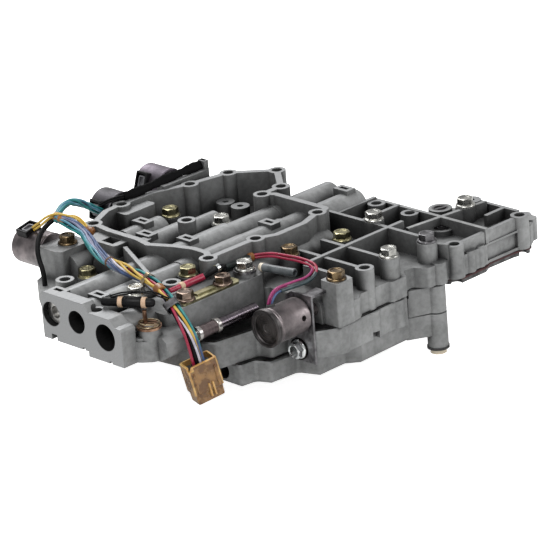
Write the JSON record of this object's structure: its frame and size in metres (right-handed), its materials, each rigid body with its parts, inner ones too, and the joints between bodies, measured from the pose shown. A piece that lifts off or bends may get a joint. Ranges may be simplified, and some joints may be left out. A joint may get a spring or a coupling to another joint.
{
  "type": "transmission valve body",
  "caption": "Aluminium hydraulic control body of an automatic transmission: cored castings with spool bores, solenoids, a manual valve and a wiring harness.",
  "frame": {"origin": "a point in the middle of the lower casting's flat underside, which seats on the transmission case", "axes": "+X along the spool bores, away from the open end face; +Y towards the shift solenoids; +Z out of the case, towards the strainer frame"},
  "size_m": [0.325, 0.2452, 0.1045],
  "materials": {
    "aluminium_turned": "turned, anodised",
    "amber_plastic": "translucent moulded",
    "black_plastic": "moulded",
    "black_rubber": "moulded",
    "black_wire": "sleeve",
    "bright_zinc": "bright zinc",
    "cast_aluminium": "matte as-cast with machined faces",
    "copper_zinc": "reddish passivated zinc",
    "cream_plastic": "moulded",
    "gasket_red": "fibre gasket",
    "grey_sleeve": "woven sleeve",
    "loom_wires": "insulated wires",
    "plate_steel": "plain sheet",
    "red_sleeve": "braided sleeve",
    "red_wire": "insulated wires",
    "solenoid_steel": "dull plated",
    "spring_steel": "drawn wire",
    "teal_wire": "insulated wires",
    "turned_steel": "ground",
    "yellow_wire": "insulated wires",
    "yellow_zinc": "yellow passivated zinc"
  },
  "bodies": {
    "housing": {"black_lead": "black_wire", "black_sleeve": "black_wire", "bolt_washer": "yellow_zinc", "bore_plug_a": "aluminium_turned", "bore_plug_b": "aluminium_turned", "bore_plug_c": "aluminium_turned", "bracket_bolt": "bright_zinc", "brass_bolts": "yellow_zinc", "column_bolt": "copper_zinc", "column_seal": "black_rubber", "column_sleeve": "cream_plastic", "deck_bolts": "copper_zinc", "extension_cover": "plate_steel", "extension_gasket": "gasket_red", "grey_sleeve": "grey_sleeve", "harness_connector": "amber_plastic", "lower_body": "cast_aluminium", "lower_separator_plate": "plate_steel", "main_loom": "loom_wires", "middle_body": "cast_aluminium", "pressure_bracket": "plate_steel", "pressure_solenoid": "solenoid_steel", "pressure_solenoid_cap": "solenoid_steel", "red_leads": "red_wire", "red_sleeve": "red_sleeve", "retainer_keys": "plate_steel", "retainer_plate": "yellow_zinc", "sensor_bands": "cream_plastic", "sensor_bracket": "yellow_zinc", "sensor_leads": "black_wire", "shift_solenoid_1": "solenoid_steel", "shift_solenoid_2": "solenoid_steel", "shift_solenoid_3": "solenoid_steel", "slotted_plugs": "yellow_zinc", "solenoid_sockets": "black_plastic", "spool_spring_a": "spring_steel", "spool_spring_b": "spring_steel", "spool_spring_c": "spring_steel", "taped_branch": "black_wire", "teal_leads": "teal_wire", "temperature_sensor": "black_plastic", "upper_body": "cast_aluminium", "upper_separator_plate": "plate_steel", "washer_bolt": "yellow_zinc", "yellow_bolts": "yellow_zinc", "yellow_lead": "yellow_wire", "zinc_bolts": "bright_zinc"},
    "manual_valve_body": {"manual_valve": "turned_steel"},
    "spool_a_body": {"spool_valve_a": "aluminium_turned"},
    "spool_b_body": {"spool_valve_b": "aluminium_turned"},
    "spool_c_body": {"spool_valve_c": "aluminium_turned"}
  },
  "joints": [
    {"name": "manual_valve_slide", "type": "slide", "parent": "housing", "child": "manual_valve_body", "axis": [1, 0, 0], "range_m": [0, 0.015]},
    {"name": "spool_a_slide", "type": "slide", "parent": "housing", "child": "spool_a_body", "axis": [-1, 0, 0], "range_m": [0, 0.006], "stiffness_N_per_m": 1200, "springref_m": -0.002, "deforming": ["spool_spring_a"]},
    {"name": "spool_b_slide", "type": "slide", "parent": "housing", "child": "spool_b_body", "axis": [-1, 0, 0], "range_m": [0, 0.006], "stiffness_N_per_m": 1200, "springref_m": -0.002, "deforming": ["spool_spring_b"]},
    {"name": "spool_c_slide", "type": "slide", "parent": "housing", "child": "spool_c_body", "axis": [-1, 0, 0], "range_m": [0, 0.006], "stiffness_N_per_m": 1200, "springref_m": -0.002, "deforming": ["spool_spring_c"]}
  ]
}
